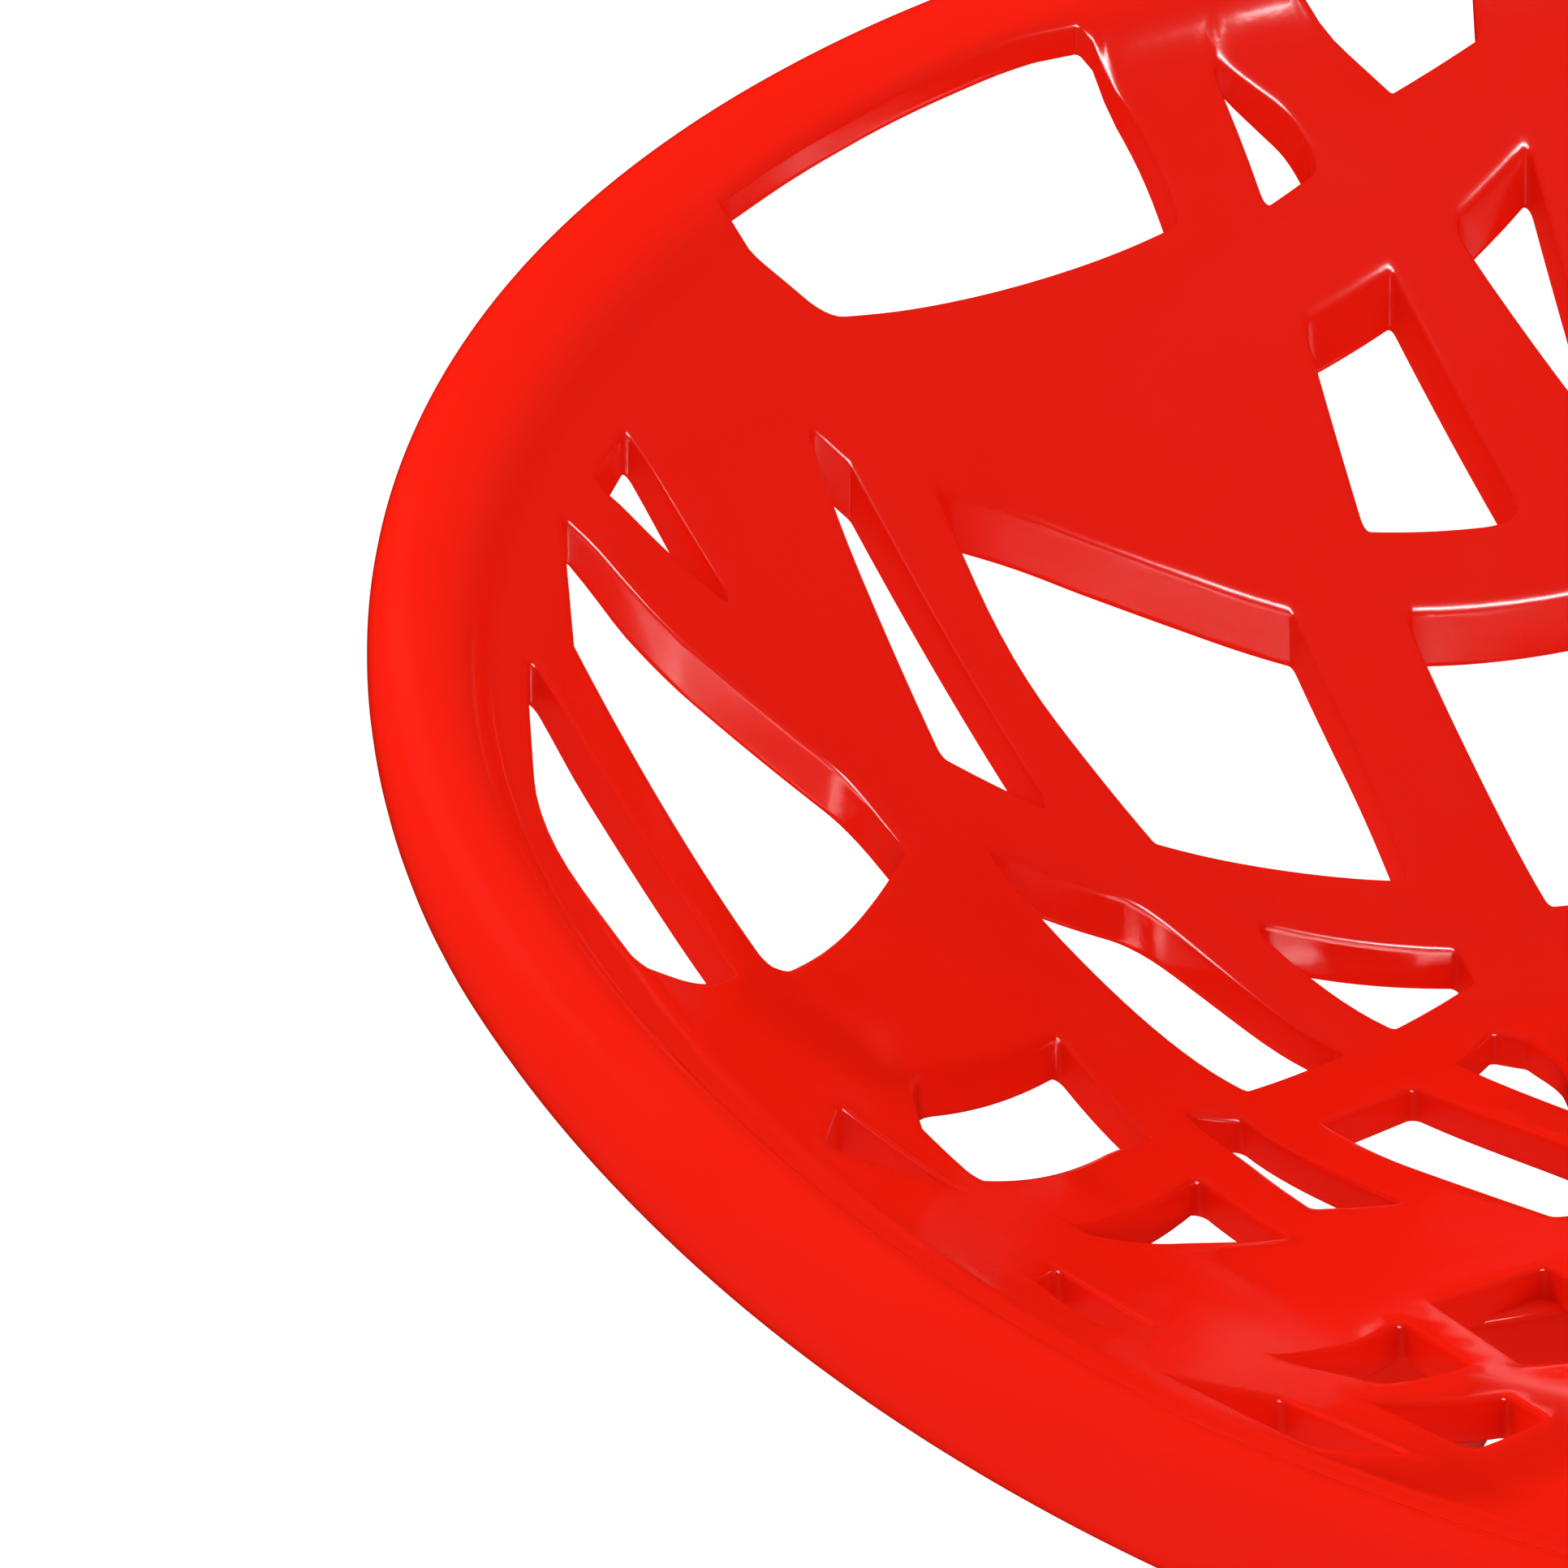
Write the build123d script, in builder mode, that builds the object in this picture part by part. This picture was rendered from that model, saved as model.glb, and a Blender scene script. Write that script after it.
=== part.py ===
"""Low-back lattice tub armchair: one moulded shell on four bolted splayed legs.

Millimetres, +Z up, front of the chair towards -Y, origin on the floor under the middle of the chair.
"""
import os
from math import atan, cos, hypot, sin, sqrt

from build123d import *

os.makedirs("parts", exist_ok=True)

# Driving dimensions
SEAT_HEIGHT = 440.0        # floor to the top of the flat seat
RIM_HALF_WIDTH = 292.5     # rim centre line, half its width
RIM_BACK = 229.0           # rim centre line, widest line to the back
RIM_FRONT = 275.0          # rim centre line, widest line to the front
RIM_RISE = 90.0            # rim centre above the seat at the widest line
RIM_PITCH = 0.372          # rise of the rim for each unit towards the back
RIM_THICK = 11.5           # rim bead, half width
RIM_TALL = 15.0            # rim bead, half height
WALL = 8.0                 # shell wall
WALL_RISE = 110.0          # height that the wall aims for at the widest line
WALL_PITCH = 0.402         # growth of that height towards the back
SEAT_EDGE = 0.47           # share of the radius where the seat turns up
SEAT_BLEND = 0.12          # softness of that turn
WALL_POWER = 1.35          # how the wall steepens towards the rim
SHELL_Y = (RIM_FRONT - RIM_BACK) / 2

BOSS_DROP = 24.0           # seat top to the underside of the leg bosses
BOSS_PITCH = 44.0          # between the two bolts of a leg
BOSS_WIDTH = 28.0
FLANGE = 7.0               # thickness of a leg's bolting flange
GLIDE_TALL = 16.0          # floor to the top of the glide's cup
LEG_END = 5.0              # floor to the leg's end, inside the glide
GLIDE_WALL = 2.5
PAD_RADIUS = 9.0
PAD_TALL = 3.0
SCREW_RADIUS = 1.8
SCREW_HEAD = 3.5
SCREW_LENGTH = 9.0
LEG_TOP_RADIUS = 13.0
LEG_FOOT_RADIUS = 10.0
BOLT_RADIUS = 3.0
INSERT_RADIUS = 4.5
INSERT_LENGTH = 14.0
WASHER_RADIUS = 6.0
WASHER_THICK = 1.6
HEAD_RADIUS = 5.0
HEAD_TALL = 4.0
HEX_SIZE = 2.6             # corner radius of the key socket
HOLE_CLEARANCE = 0.3
SOCKET_DEEP = 2.5
BOLT_LENGTH = 20.0

# Legs: boss centre and foot centre (x, y) on the +X side, mirrored to the other side
LEGS = {
    "front": ((112.0, -118.0), (214.0, -222.0)),
    "rear": ((98.0, 21.0), (206.0, 222.0)),
}

# Openings of one side, each a plan outline measured from the shell's widest line
SIDE_HOLES = {
    "arch": [(-170, 178), (-145, 191), (-116, 203), (-90, 211), (-74, 213), (-64, 205),
             (-59, 195), (-102, 184), (-147, 171), (-157, 174)],
    "sliver": [(-48, 214), (-31, 207), (-26, 201), (-41, 197)],
    "back_window": [(-131, 159), (-112, 161), (-83, 161), (-53, 159), (-45, 142), (-42, 127),
                    (-68, 126), (-99, 124), (-122, 141)],
    "slit": [(-159, 158), (-149, 156), (-120, 122), (-146, 121), (-156, 146)],
    "wedge": [(-205, 140), (-186, 122), (-203, 123), (-219, 126)],
    "side_window": [(-229, 117), (-212, 111), (-172, 108), (-162, 101), (-193, 67), (-214, 45),
                    (-220, 42), (-230, 68), (-239, 90)],
    "rim_slit": [(-253, 82), (-241, 57), (-232, 29), (-249, 9), (-264, -4), (-270, 30)],
    "hip": [(-144, 111), (-107, 115), (-93, 109), (-71, 94), (-100, 80), (-134, 103)],
    "hip_wedge": [(-85, 118), (-37, 118), (-36, 111), (-59, 100)],
    "seat_kite": [(-52, 88), (-39, 99), (-33, 95), (-31, 83), (-40, 52)],
    "seat_long": [(-90, 69), (-64, 81), (-50, 42), (-45, 24), (-59, 4), (-70, 6), (-86, 49)],
    "side_quad": [(-141, 80), (-130, 58), (-142, 50), (-196, -2), (-201, 13), (-193, 38)],
    "side_spike": [(-186, -11), (-126, 48), (-122, 15), (-141, 14)],
    "arm_wedge": [(-252, -50), (-227, -4), (-206, -17)],
    "arm_kite": [(-219, -73), (-201, -46), (-191, -71), (-216, -98)],
    "arm_front": [(-214, -124), (-184, -112), (-171, -143), (-198, -156)],
    "seat_side": [(-168, -72), (-121, -33), (-120, -63), (-147, -80)],
    "seat_mid": [(-112, -27), (-82, -16), (-78, -43), (-92, -70), (-111, -66)],
    "seat_front": [(-160, -98), (-122, -83), (-122, -101), (-154, -133)],
    "seat_strip": [(-119, 71), (-105, 72), (-92, 24), (-111, 28), (-113, 56)],
    "lap": [(-66, -20), (-22, -8), (-30, -58), (-62, -72)],
    "lap_front": [(-84, -92), (-22, -78), (-34, -132), (-78, -126)],
    "front_long": [(-150, -192), (-128, -176), (-84, -196), (-92, -230), (-118, -226)],
    "front_window": [(-66, -150), (-18, -156), (-22, -214), (-70, -222)],
}
CENTRE_HOLES = {
    "back_eye": [(-31, 220), (-9, 207), (12, 211), (14, 219), (-9, 223)],
    "back_quad": [(-38, 188), (-16, 193), (2, 168), (-5, 167), (-34, 167)],
    "back_wedge": [(-3, 196), (18, 202), (22, 180), (22, 172), (2, 191)],
    "back_chip": [(30, 195), (40, 190), (36, 168), (29, 171)],
    "spine": [(-30, 160), (30, 160), (15, 123), (-15, 123), (-21, 139)],
    "seat_heart": [(-16, 66), (0, 92), (16, 66), (0, 14)],
    "lip": [(-8, -92), (8, -92), (10, -140), (-10, -140)],
}


def steepness(share):
    """Height of the wall at a share of the radius, from 0 on the seat to about 1 at the rim."""
    s = (share - SEAT_EDGE) / (1 - SEAT_EDGE)
    return ((s + sqrt(s * s + SEAT_BLEND**2)) / 2) ** WALL_POWER


def tilted(height, pitch):
    """Plane through the shell's widest line, pitched up towards the back."""
    run = hypot(1, pitch)
    return Plane(
        origin=(0, SHELL_Y, SEAT_HEIGHT + height),
        x_dir=(1, 0, 0),
        z_dir=(0, -pitch / run, 1 / run),
    )


def egg(half_width, back, front, pitch):
    """Two half ellipses whose plan has the given sizes when the plane has this pitch."""
    run = hypot(1, pitch)
    EllipticalCenterArc((0, 0), half_width, back * run, 0, arc_size=180)
    EllipticalCenterArc((0, 0), half_width, front * run, 180, arc_size=180)


SHARES = (0.30, 0.50, 0.62, 0.74, 0.86, 0.97)


def bowl_sections(offset):
    """Closed sections of the shell's top face, moved out along its normal by offset."""
    sections = []
    for share in SHARES:
        step = 0.01
        rise = steepness(share)
        slope = (steepness(share + step) - steepness(share - step)) / (2 * step)
        lean = atan(slope * WALL_RISE / RIM_HALF_WIDTH)
        out = offset * sin(lean)
        pitch = WALL_PITCH * rise / share
        with BuildSketch(tilted(rise * WALL_RISE - offset * cos(lean), pitch)) as section:
            with BuildLine():
                egg(share * RIM_HALF_WIDTH + out, share * RIM_BACK + out, share * RIM_FRONT + out, pitch)
            make_face()
        sections.append(section.sketch)
    return sections


def hole_faces():
    """All openings as one plan sketch."""
    outlines = [[(side * x, y) for x, y in o] for o in SIDE_HOLES.values() for side in (1, -1)]
    outlines += list(CENTRE_HOLES.values())
    with BuildSketch(Plane((0, SHELL_Y, SEAT_HEIGHT - 3 * WALL))) as plan:
        for outline in outlines:
            with BuildLine():
                Polyline(outline, close=True)
            make_face()
    return plan.sketch


# Every leg: its name, its boss centre and its foot centre
LEG_PLACES = [
    (f"{end}_{word}", (side * top[0], top[1]), (side * foot[0], foot[1]))
    for end, (top, foot) in LEGS.items()
    for word, side in (("left", -1), ("right", 1))
]
BOLT_SPOTS = [
    (top[0] + offset, top[1])
    for _, top, _ in LEG_PLACES
    for offset in (-BOSS_PITCH / 2, BOSS_PITCH / 2)
]
FOOT_SPOTS = [foot for _, _, foot in LEG_PLACES]
BOSS_FACE = SEAT_HEIGHT - BOSS_DROP
FLANGE_FACE = BOSS_FACE - FLANGE


def leg_centre(top, foot, height):
    """Leg axis at a height: a straight line from under the flange to the floor."""
    share = (FLANGE_FACE - height) / FLANGE_FACE
    return (top[0] + share * (foot[0] - top[0]), top[1] + share * (foot[1] - top[1]))


def leg_radius(height):
    """Leg radius at a height, largest under the flange."""
    return LEG_FOOT_RADIUS + (LEG_TOP_RADIUS - LEG_FOOT_RADIUS) * height / FLANGE_FACE


def leg_discs(top, foot, heights, extra=0):
    """Level discs along a leg at the given heights, extra wider than the leg."""
    discs = []
    for height in heights:
        with BuildSketch(Plane((*leg_centre(top, foot, height), height))) as disc:
            Circle(leg_radius(height) + extra)
        discs.append(disc.sketch)
    return discs


# Seat shell -----------------------------------------------------------------
with BuildPart() as hollow:
    loft(bowl_sections(0))

with BuildPart() as seat_shell:
    loft(bowl_sections(WALL))
    add(hollow.part, mode=Mode.SUBTRACT)
    extrude(hole_faces(), amount=SEAT_HEIGHT, mode=Mode.SUBTRACT)
    with BuildLine(tilted(RIM_RISE, RIM_PITCH)) as rim_line:
        egg(RIM_HALF_WIDTH, RIM_BACK, RIM_FRONT, RIM_PITCH)
    with BuildSketch(Plane(rim_line.line @ 0, x_dir=(1, 0, 0), z_dir=rim_line.line % 0)):
        Ellipse(RIM_THICK, RIM_TALL)
    sweep(path=rim_line.line)
    with BuildSketch(Plane.XY.offset(BOSS_FACE)):
        with Locations(*[top for _, top, _ in LEG_PLACES]):
            SlotCenterToCenter(BOSS_PITCH, BOSS_WIDTH)
    extrude(amount=BOSS_DROP - WALL / 2)
    with Locations(*[(x, y, BOSS_FACE) for x, y in BOLT_SPOTS]):
        Cylinder(
            INSERT_RADIUS,
            INSERT_LENGTH,
            align=(Align.CENTER, Align.CENTER, Align.MIN),
            mode=Mode.SUBTRACT,
        )
seat_shell.part.label = "seat_shell"
export_step(seat_shell.part, "parts/seat_shell.step")

# Legs and glides ------------------------------------------------------------
for name, top, foot in LEG_PLACES:
    with BuildPart() as leg:
        with BuildSketch(Plane((*top, FLANGE_FACE))):
            SlotCenterToCenter(BOSS_PITCH, BOSS_WIDTH)
        extrude(amount=FLANGE)
        fillet(leg.faces().sort_by(Axis.Z)[0].edges(), 1.5)
        with Locations((top[0] - BOSS_PITCH / 2, top[1]), (top[0] + BOSS_PITCH / 2, top[1])):
            Cylinder(BOLT_RADIUS + HOLE_CLEARANCE, 3 * BOSS_FACE, mode=Mode.SUBTRACT)
        loft(leg_discs(top, foot, (FLANGE_FACE + FLANGE / 2, LEG_END)))
        with Locations((*foot, LEG_END)):
            Cylinder(
                SCREW_RADIUS,
                SCREW_LENGTH,
                align=(Align.CENTER, Align.CENTER, Align.MIN),
                mode=Mode.SUBTRACT,
            )
    leg.part.label = f"{name}_leg"
    export_step(leg.part, f"parts/{name}_leg.step")

    with BuildPart() as glide:
        loft(leg_discs(top, foot, (GLIDE_TALL, 0), extra=GLIDE_WALL))
        fillet(glide.faces().sort_by(Axis.Z)[0].edges(), 1.5)
        with BuildSketch(Plane((*foot, 0))):
            Circle(PAD_RADIUS)
        extrude(amount=PAD_TALL, mode=Mode.SUBTRACT)
        loft(leg_discs(top, foot, (GLIDE_TALL + 1, LEG_END)), mode=Mode.SUBTRACT)
        with Locations((*foot, 0)):
            Cylinder(SCREW_RADIUS + HOLE_CLEARANCE, GLIDE_TALL, mode=Mode.SUBTRACT)
    glide.part.label = f"{name}_glide"
    export_step(glide.part, f"parts/{name}_glide.step")

# Fasteners and pads, each kind one group ------------------------------------
with BuildPart() as glide_pads:
    with BuildSketch(Plane.XY):
        with Locations(*FOOT_SPOTS):
            Circle(PAD_RADIUS)
            Circle(SCREW_HEAD, mode=Mode.SUBTRACT)
    extrude(amount=PAD_TALL)
glide_pads.part.label = "glide_pads"
export_step(glide_pads.part, "parts/glide_pads.step")

with BuildPart() as glide_screws:
    with BuildSketch(Plane.XY.offset(1)):
        with Locations(*FOOT_SPOTS):
            Circle(SCREW_HEAD)
    extrude(amount=PAD_TALL - 1)
    with BuildSketch(Plane.XY.offset(PAD_TALL)):
        with Locations(*FOOT_SPOTS):
            Circle(SCREW_RADIUS)
    extrude(amount=LEG_END - PAD_TALL + SCREW_LENGTH - 1)
    with BuildSketch(Plane.XY.offset(1)):
        with Locations(*FOOT_SPOTS):
            RegularPolygon(SCREW_RADIUS, 6)
    extrude(amount=1, mode=Mode.SUBTRACT)
glide_screws.part.label = "glide_screws"
export_step(glide_screws.part, "parts/glide_screws.step")

with BuildPart() as threaded_inserts:
    with BuildSketch(Plane.XY.offset(BOSS_FACE)):
        with Locations(*BOLT_SPOTS):
            Circle(INSERT_RADIUS)
            Circle(BOLT_RADIUS, mode=Mode.SUBTRACT)
    extrude(amount=INSERT_LENGTH)
threaded_inserts.part.label = "threaded_inserts"
export_step(threaded_inserts.part, "parts/threaded_inserts.step")

with BuildPart() as leg_washers:
    with BuildSketch(Plane.XY.offset(FLANGE_FACE - WASHER_THICK)):
        with Locations(*BOLT_SPOTS):
            Circle(WASHER_RADIUS)
            Circle(BOLT_RADIUS + HOLE_CLEARANCE, mode=Mode.SUBTRACT)
    extrude(amount=WASHER_THICK)
leg_washers.part.label = "leg_washers"
export_step(leg_washers.part, "parts/leg_washers.step")

HEAD_FACE = FLANGE_FACE - WASHER_THICK - HEAD_TALL
with BuildPart() as leg_bolts:
    with BuildSketch(Plane.XY.offset(HEAD_FACE)):
        with Locations(*BOLT_SPOTS):
            Circle(HEAD_RADIUS)
    extrude(amount=HEAD_TALL)
    with BuildSketch(Plane.XY.offset(HEAD_FACE + HEAD_TALL)):
        with Locations(*BOLT_SPOTS):
            Circle(BOLT_RADIUS)
    extrude(amount=BOLT_LENGTH)
    with BuildSketch(Plane.XY.offset(HEAD_FACE)):
        with Locations(*BOLT_SPOTS):
            RegularPolygon(HEX_SIZE, 6)
    extrude(amount=SOCKET_DEEP, mode=Mode.SUBTRACT)
leg_bolts.part.label = "leg_bolts"
export_step(leg_bolts.part, "parts/leg_bolts.step")
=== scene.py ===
"""Looks for a low-back lattice tub armchair: one moulded shell on four bolted splayed legs.

Laid out as an add-on and run as a script. Shapes are worked out in millimetres in the chair's own
frame (+Z up, front towards -Y, floor at 0) and written to their meshes in metres.
"""
from math import cos, pi, radians, sin

import bpy
import numpy as np
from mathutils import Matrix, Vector
from mathutils.geometry import delaunay_2d_cdt


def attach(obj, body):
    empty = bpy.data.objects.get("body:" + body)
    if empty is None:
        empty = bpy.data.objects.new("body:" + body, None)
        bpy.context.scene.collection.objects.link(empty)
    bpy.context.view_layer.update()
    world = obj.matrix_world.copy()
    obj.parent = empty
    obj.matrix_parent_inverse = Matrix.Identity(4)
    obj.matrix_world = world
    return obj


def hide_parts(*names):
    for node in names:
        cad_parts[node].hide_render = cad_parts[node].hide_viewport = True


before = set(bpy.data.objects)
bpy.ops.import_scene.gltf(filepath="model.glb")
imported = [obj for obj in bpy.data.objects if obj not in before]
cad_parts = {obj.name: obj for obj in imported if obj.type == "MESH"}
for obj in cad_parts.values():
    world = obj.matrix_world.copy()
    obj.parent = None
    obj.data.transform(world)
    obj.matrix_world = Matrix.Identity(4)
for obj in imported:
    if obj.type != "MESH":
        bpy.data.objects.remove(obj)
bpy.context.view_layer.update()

bl_info = {
    "name": "Lattice Tub Chair",
    "version": (1, 0, 0),
    "blender": (4, 5, 0),
    "location": "3D View > Sidebar > Tub Chair",
    "description": "Builds the shell, legs, fittings and stage of a lattice tub armchair",
    "category": "Add Mesh",
}

MM = 0.001
SIDES = (("left", -1), ("right", 1))

# Shell, in millimetres
SEAT_HEIGHT = 440.0        # floor to the top of the flat seat
RIM_HALF_WIDTH = 292.5     # rim centre line, half its width
RIM_BACK = 229.0           # rim centre line, widest line to the back
RIM_FRONT = 275.0          # rim centre line, widest line to the front
RIM_RISE = 90.0            # rim centre above the seat at the widest line
RIM_PITCH = 0.372          # rise of the rim for each unit towards the back
RIM_THICK = 11.5           # rim bead, half width
RIM_TALL = 14.0            # rim bead, half height at the front
RIM_SLIM = 9.0             # how much lower its half height is at the back
CREST_KEPT = 0.66          # share of that by which the centre rises, to keep the crest up
WALL = 8.3                 # shell wall at the widest line
WALL_THIN = 0.010          # how much thinner it gets for each unit towards the back
RIM_WALL = 7.5             # least thickness, straight down, where the wall runs into the bead
WALL_RISE = 110.0          # height that the wall aims for at the widest line
WALL_PITCH = 0.402         # growth of that height towards the back
SEAT_EDGE = 0.47           # share of the radius where the seat turns up
SEAT_BLEND = 0.12          # softness of that turn
WALL_POWER = 1.35          # how the wall steepens towards the rim
SHELL_Y = (RIM_FRONT - RIM_BACK) / 2
BEAD_FILLET = 2.5          # softness where the wall runs into the bead
BEAD_GROOVE = 9.0          # how far the wall sinks below its own curve at the bead
GROOVE_WIDTH = 26.0        # distance inside the rim line where that sinking starts
UNDER_FADE = 30.0          # distance inside the rim line where the full wall starts
BEAD_MEET = 3.0            # distance inside the rim line where the bead's own strip takes over
BEAD_FADE = 8.0            # distance inside the rim line where the wall starts to fade into it
BEAD_FALL = 3.0            # slope that takes the bead's own curve below the wall, inside the bead
SLIM_REACH = 0.85          # share of the rim's back reach where the bead has slimmed fully

# Mesh of the shell, in millimetres where a number is a length
RIM_POINTS = 720           # points round the rim
RIM_LOOPS = (4.5, 6.0, 7.5, 9.0, 10.2, 11.2, 12.4, 14.0)  # distances inside the rim line
BEAD_ROWS = 28             # rows round the bead's section, its two seams counted
EDGE_ROWS = 5              # rows across the rounded edge of an opening
JAMB_EDGE = 0.7            # depth of the cut face's first row, which keeps its shading flat
EDGE_REACH = 4.0           # how far past an opening's rounded edge distances are worked out
CLEAR_OF_EDGE = 1.0        # least distance from a rounded edge to a free point
RING_KEPT = 0.94           # share of its offset that an edge point needs from every opening

# Leg bosses, in millimetres
BOSS_DROP = 24.0           # seat top to the underside of the bosses
BOSS_PITCH = 44.0          # between the two bolts of a leg
BOSS_RADIUS = 14.0
BOSS_EDGE = 1.5            # rounding of a boss's lower edge
BOSS_FLARE = 7.0           # how far a boss widens, and over what height, as it meets the seat
FLARE_TOP = 8.5            # seat top to the end of the flare
BOSS_ROOF = 6.5            # seat top to the boss's closing face, inside the seat
ROOF_INSET = 1.0           # how far that face stays inside the flare's end
BOSS_ROWS = 5              # rows across each quarter circle of a boss's profile
INSERT_RADIUS = 4.5
INSERT_LENGTH = 14.0
CIRCLE_POINTS = 24         # points round an insert's hole, or a half circle of a boss
BOSSES = {"front": (112.0, -118.0), "rear": (98.0, 21.0)}

# Openings of one side, each a plan outline measured from the shell's widest line
SIDE_HOLES = {
    "arch": [(-170, 178), (-145, 191), (-116, 203), (-90, 211), (-74, 213), (-64, 205),
             (-59, 195), (-102, 184), (-147, 171), (-157, 174)],
    "sliver": [(-48, 214), (-31, 207), (-26, 201), (-41, 197)],
    "back_window": [(-131, 159), (-112, 161), (-83, 161), (-53, 159), (-45, 142), (-42, 127),
                    (-68, 126), (-99, 124), (-122, 141)],
    "slit": [(-159, 158), (-149, 156), (-120, 122), (-146, 121), (-156, 146)],
    "wedge": [(-205, 140), (-186, 122), (-203, 123), (-219, 126)],
    "side_window": [(-229, 117), (-212, 111), (-172, 108), (-162, 101), (-193, 67), (-214, 45),
                    (-220, 42), (-230, 68), (-239, 90)],
    "rim_slit": [(-253, 82), (-241, 57), (-232, 29), (-249, 9), (-269, -6), (-274, 31)],
    "hip": [(-144, 111), (-107, 115), (-93, 109), (-71, 94), (-100, 80), (-134, 103)],
    "hip_wedge": [(-85, 118), (-37, 118), (-36, 111), (-59, 100)],
    "seat_kite": [(-52, 88), (-39, 99), (-33, 95), (-31, 83), (-40, 52)],
    "seat_long": [(-90, 69), (-64, 81), (-50, 42), (-45, 24), (-59, 4), (-70, 6), (-86, 49)],
    "side_quad": [(-141, 80), (-130, 58), (-142, 50), (-196, -2), (-201, 13), (-193, 38)],
    "side_spike": [(-186, -11), (-126, 48), (-122, 15), (-141, 14)],
    "arm_wedge": [(-252, -50), (-227, -4), (-206, -17)],
    "arm_kite": [(-219, -73), (-201, -46), (-191, -71), (-216, -98)],
    "arm_front": [(-214, -124), (-184, -112), (-171, -143), (-198, -156)],
    "seat_side": [(-168, -72), (-121, -33), (-120, -63), (-147, -80)],
    "seat_mid": [(-112, -27), (-82, -16), (-78, -43), (-92, -70), (-111, -66)],
    "seat_front": [(-160, -98), (-122, -83), (-122, -101), (-154, -133)],
    "seat_strip": [(-119, 71), (-105, 72), (-92, 24), (-111, 28), (-113, 56)],
    "lap": [(-66, -20), (-22, -8), (-30, -58), (-62, -72)],
    "lap_front": [(-84, -92), (-22, -78), (-34, -132), (-78, -126)],
    "front_long": [(-150, -192), (-128, -176), (-84, -196), (-92, -230), (-118, -226)],
    "front_window": [(-66, -150), (-18, -156), (-22, -214), (-70, -222)],
}
CENTRE_HOLES = {
    "back_eye": [(-31, 220), (-9, 207), (12, 211), (14, 219), (-9, 223)],
    "back_quad": [(-38, 188), (-16, 193), (2, 168), (-5, 167), (-34, 167)],
    "back_wedge": [(-3, 196), (18, 202), (22, 180), (22, 172), (2, 191)],
    "back_chip": [(30, 195), (40, 190), (36, 168), (29, 171)],
    "spine": [(-30, 160), (30, 160), (15, 123), (-15, 123), (-21, 139)],
    "seat_heart": [(-16, 66), (0, 92), (16, 66), (0, 14)],
    "lip": [(-8, -92), (8, -92), (10, -140), (-10, -140)],
}

# Rounding of the openings' corners
CORNER_ANGLE = radians(35)  # sharper turns are corners, gentler ones bow the edge
CORNER_RADIUS = 1.4         # millimetres
BOW_SHARE = 0.46            # share of an edge that a gentle turn bends
ARC_SHARE = 0.47            # most of an edge that one corner's arc may take
ARC_POINTS = 7
EDGE_STEP = 3.0             # longest run along an outline, in millimetres

# Floor, in millimetres
FLOOR_HALF = 25000.0        # half a side of the square floor
FLOOR_DROP = 0.5            # keeps the floor just under the pads

# Lights and camera, in metres
KEY_SIZE = (2.2, 1.4)
KEY_PLACE = (-1.1, 1.6, 2.4)
KEY_TARGET = (0.0, 0.0, 0.5)
STRIP_SIZE = (2.4, 0.36)
STRIP_PLACE = (0.6, -2.7, 1.12)
STRIP_TARGET = (-0.15, 0.1, 0.5)
CAMERA_AIM = (-0.1827, 0.1372, 0.5103)
CAMERA_DISTANCE = 13.837
CAMERA_REACH = 100.0        # furthest distance that the camera sees
CAMERA_LENS = 1650.0        # focal length in millimetres


# Surfaces -------------------------------------------------------------------
def mix(a, b, share):
    """a where share is 0, b where it is 1."""
    return a + (b - a) * share


def smooth_step(low, high, value):
    """0 below low, 1 above high, and 3t^2 - 2t^3 between them."""
    t = np.clip((value - low) / (high - low), 0, 1)
    return t * t * (3 - 2 * t)


def soft_max(a, b, softness):
    """The larger of a and b, rounded where they cross: half of the sum of a, b and the root of
    (a - b)^2 + softness^2."""
    return (a + b + np.sqrt((a - b) ** 2 + softness**2)) / 2


def shell_reach(y):
    """Length of the rim's half ellipse that y lies in, towards the back or the front."""
    return np.where(y > 0, RIM_BACK, RIM_FRONT)


def shell_share(x, y):
    """Share of the radius: 0 at the middle and 1 on the rim line, with a pair of half ellipses at
    every value."""
    return np.sqrt((x / RIM_HALF_WIDTH) ** 2 + (y / shell_reach(y)) ** 2)


def rim_inset(x, y):
    """Distance inside the rim line, as what is left of the share over the share's gradient."""
    share = np.maximum(shell_share(x, y), 1e-6)
    slope = np.hypot(x / RIM_HALF_WIDTH**2, y / shell_reach(y) ** 2) / share
    return (1 - share) / np.maximum(slope, 1e-6)


def wall_height(x, y):
    """Top of the wall above the seat: a softened ramp of the share, raised to a power, times a
    height that grows towards the back."""
    share = np.maximum(shell_share(x, y), 1e-6)
    s = (share - SEAT_EDGE) / (1 - SEAT_EDGE)
    ramp = ((s + np.sqrt(s * s + SEAT_BLEND**2)) / 2) ** WALL_POWER
    return ramp * (WALL_RISE + WALL_PITCH * y / share)


def wall_stretch(x, y):
    """Length of the wall's surface for a unit of plan: the root of 1 plus the squares of its
    slopes, each the difference of two heights a unit apart."""
    across = wall_height(x + 0.5, y) - wall_height(x - 0.5, y)
    along = wall_height(x, y + 0.5) - wall_height(x, y - 0.5)
    return np.sqrt(1 + across**2 + along**2)


def bead_section(y):
    """Height of the bead's centre above the seat and its half height. The bead slims towards the
    back, where its centre rises by most of what its half height loses."""
    slim = RIM_SLIM * smooth_step(0, SLIM_REACH * RIM_BACK, y)
    return RIM_RISE + RIM_PITCH * y + CREST_KEPT * slim, RIM_TALL - slim


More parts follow.
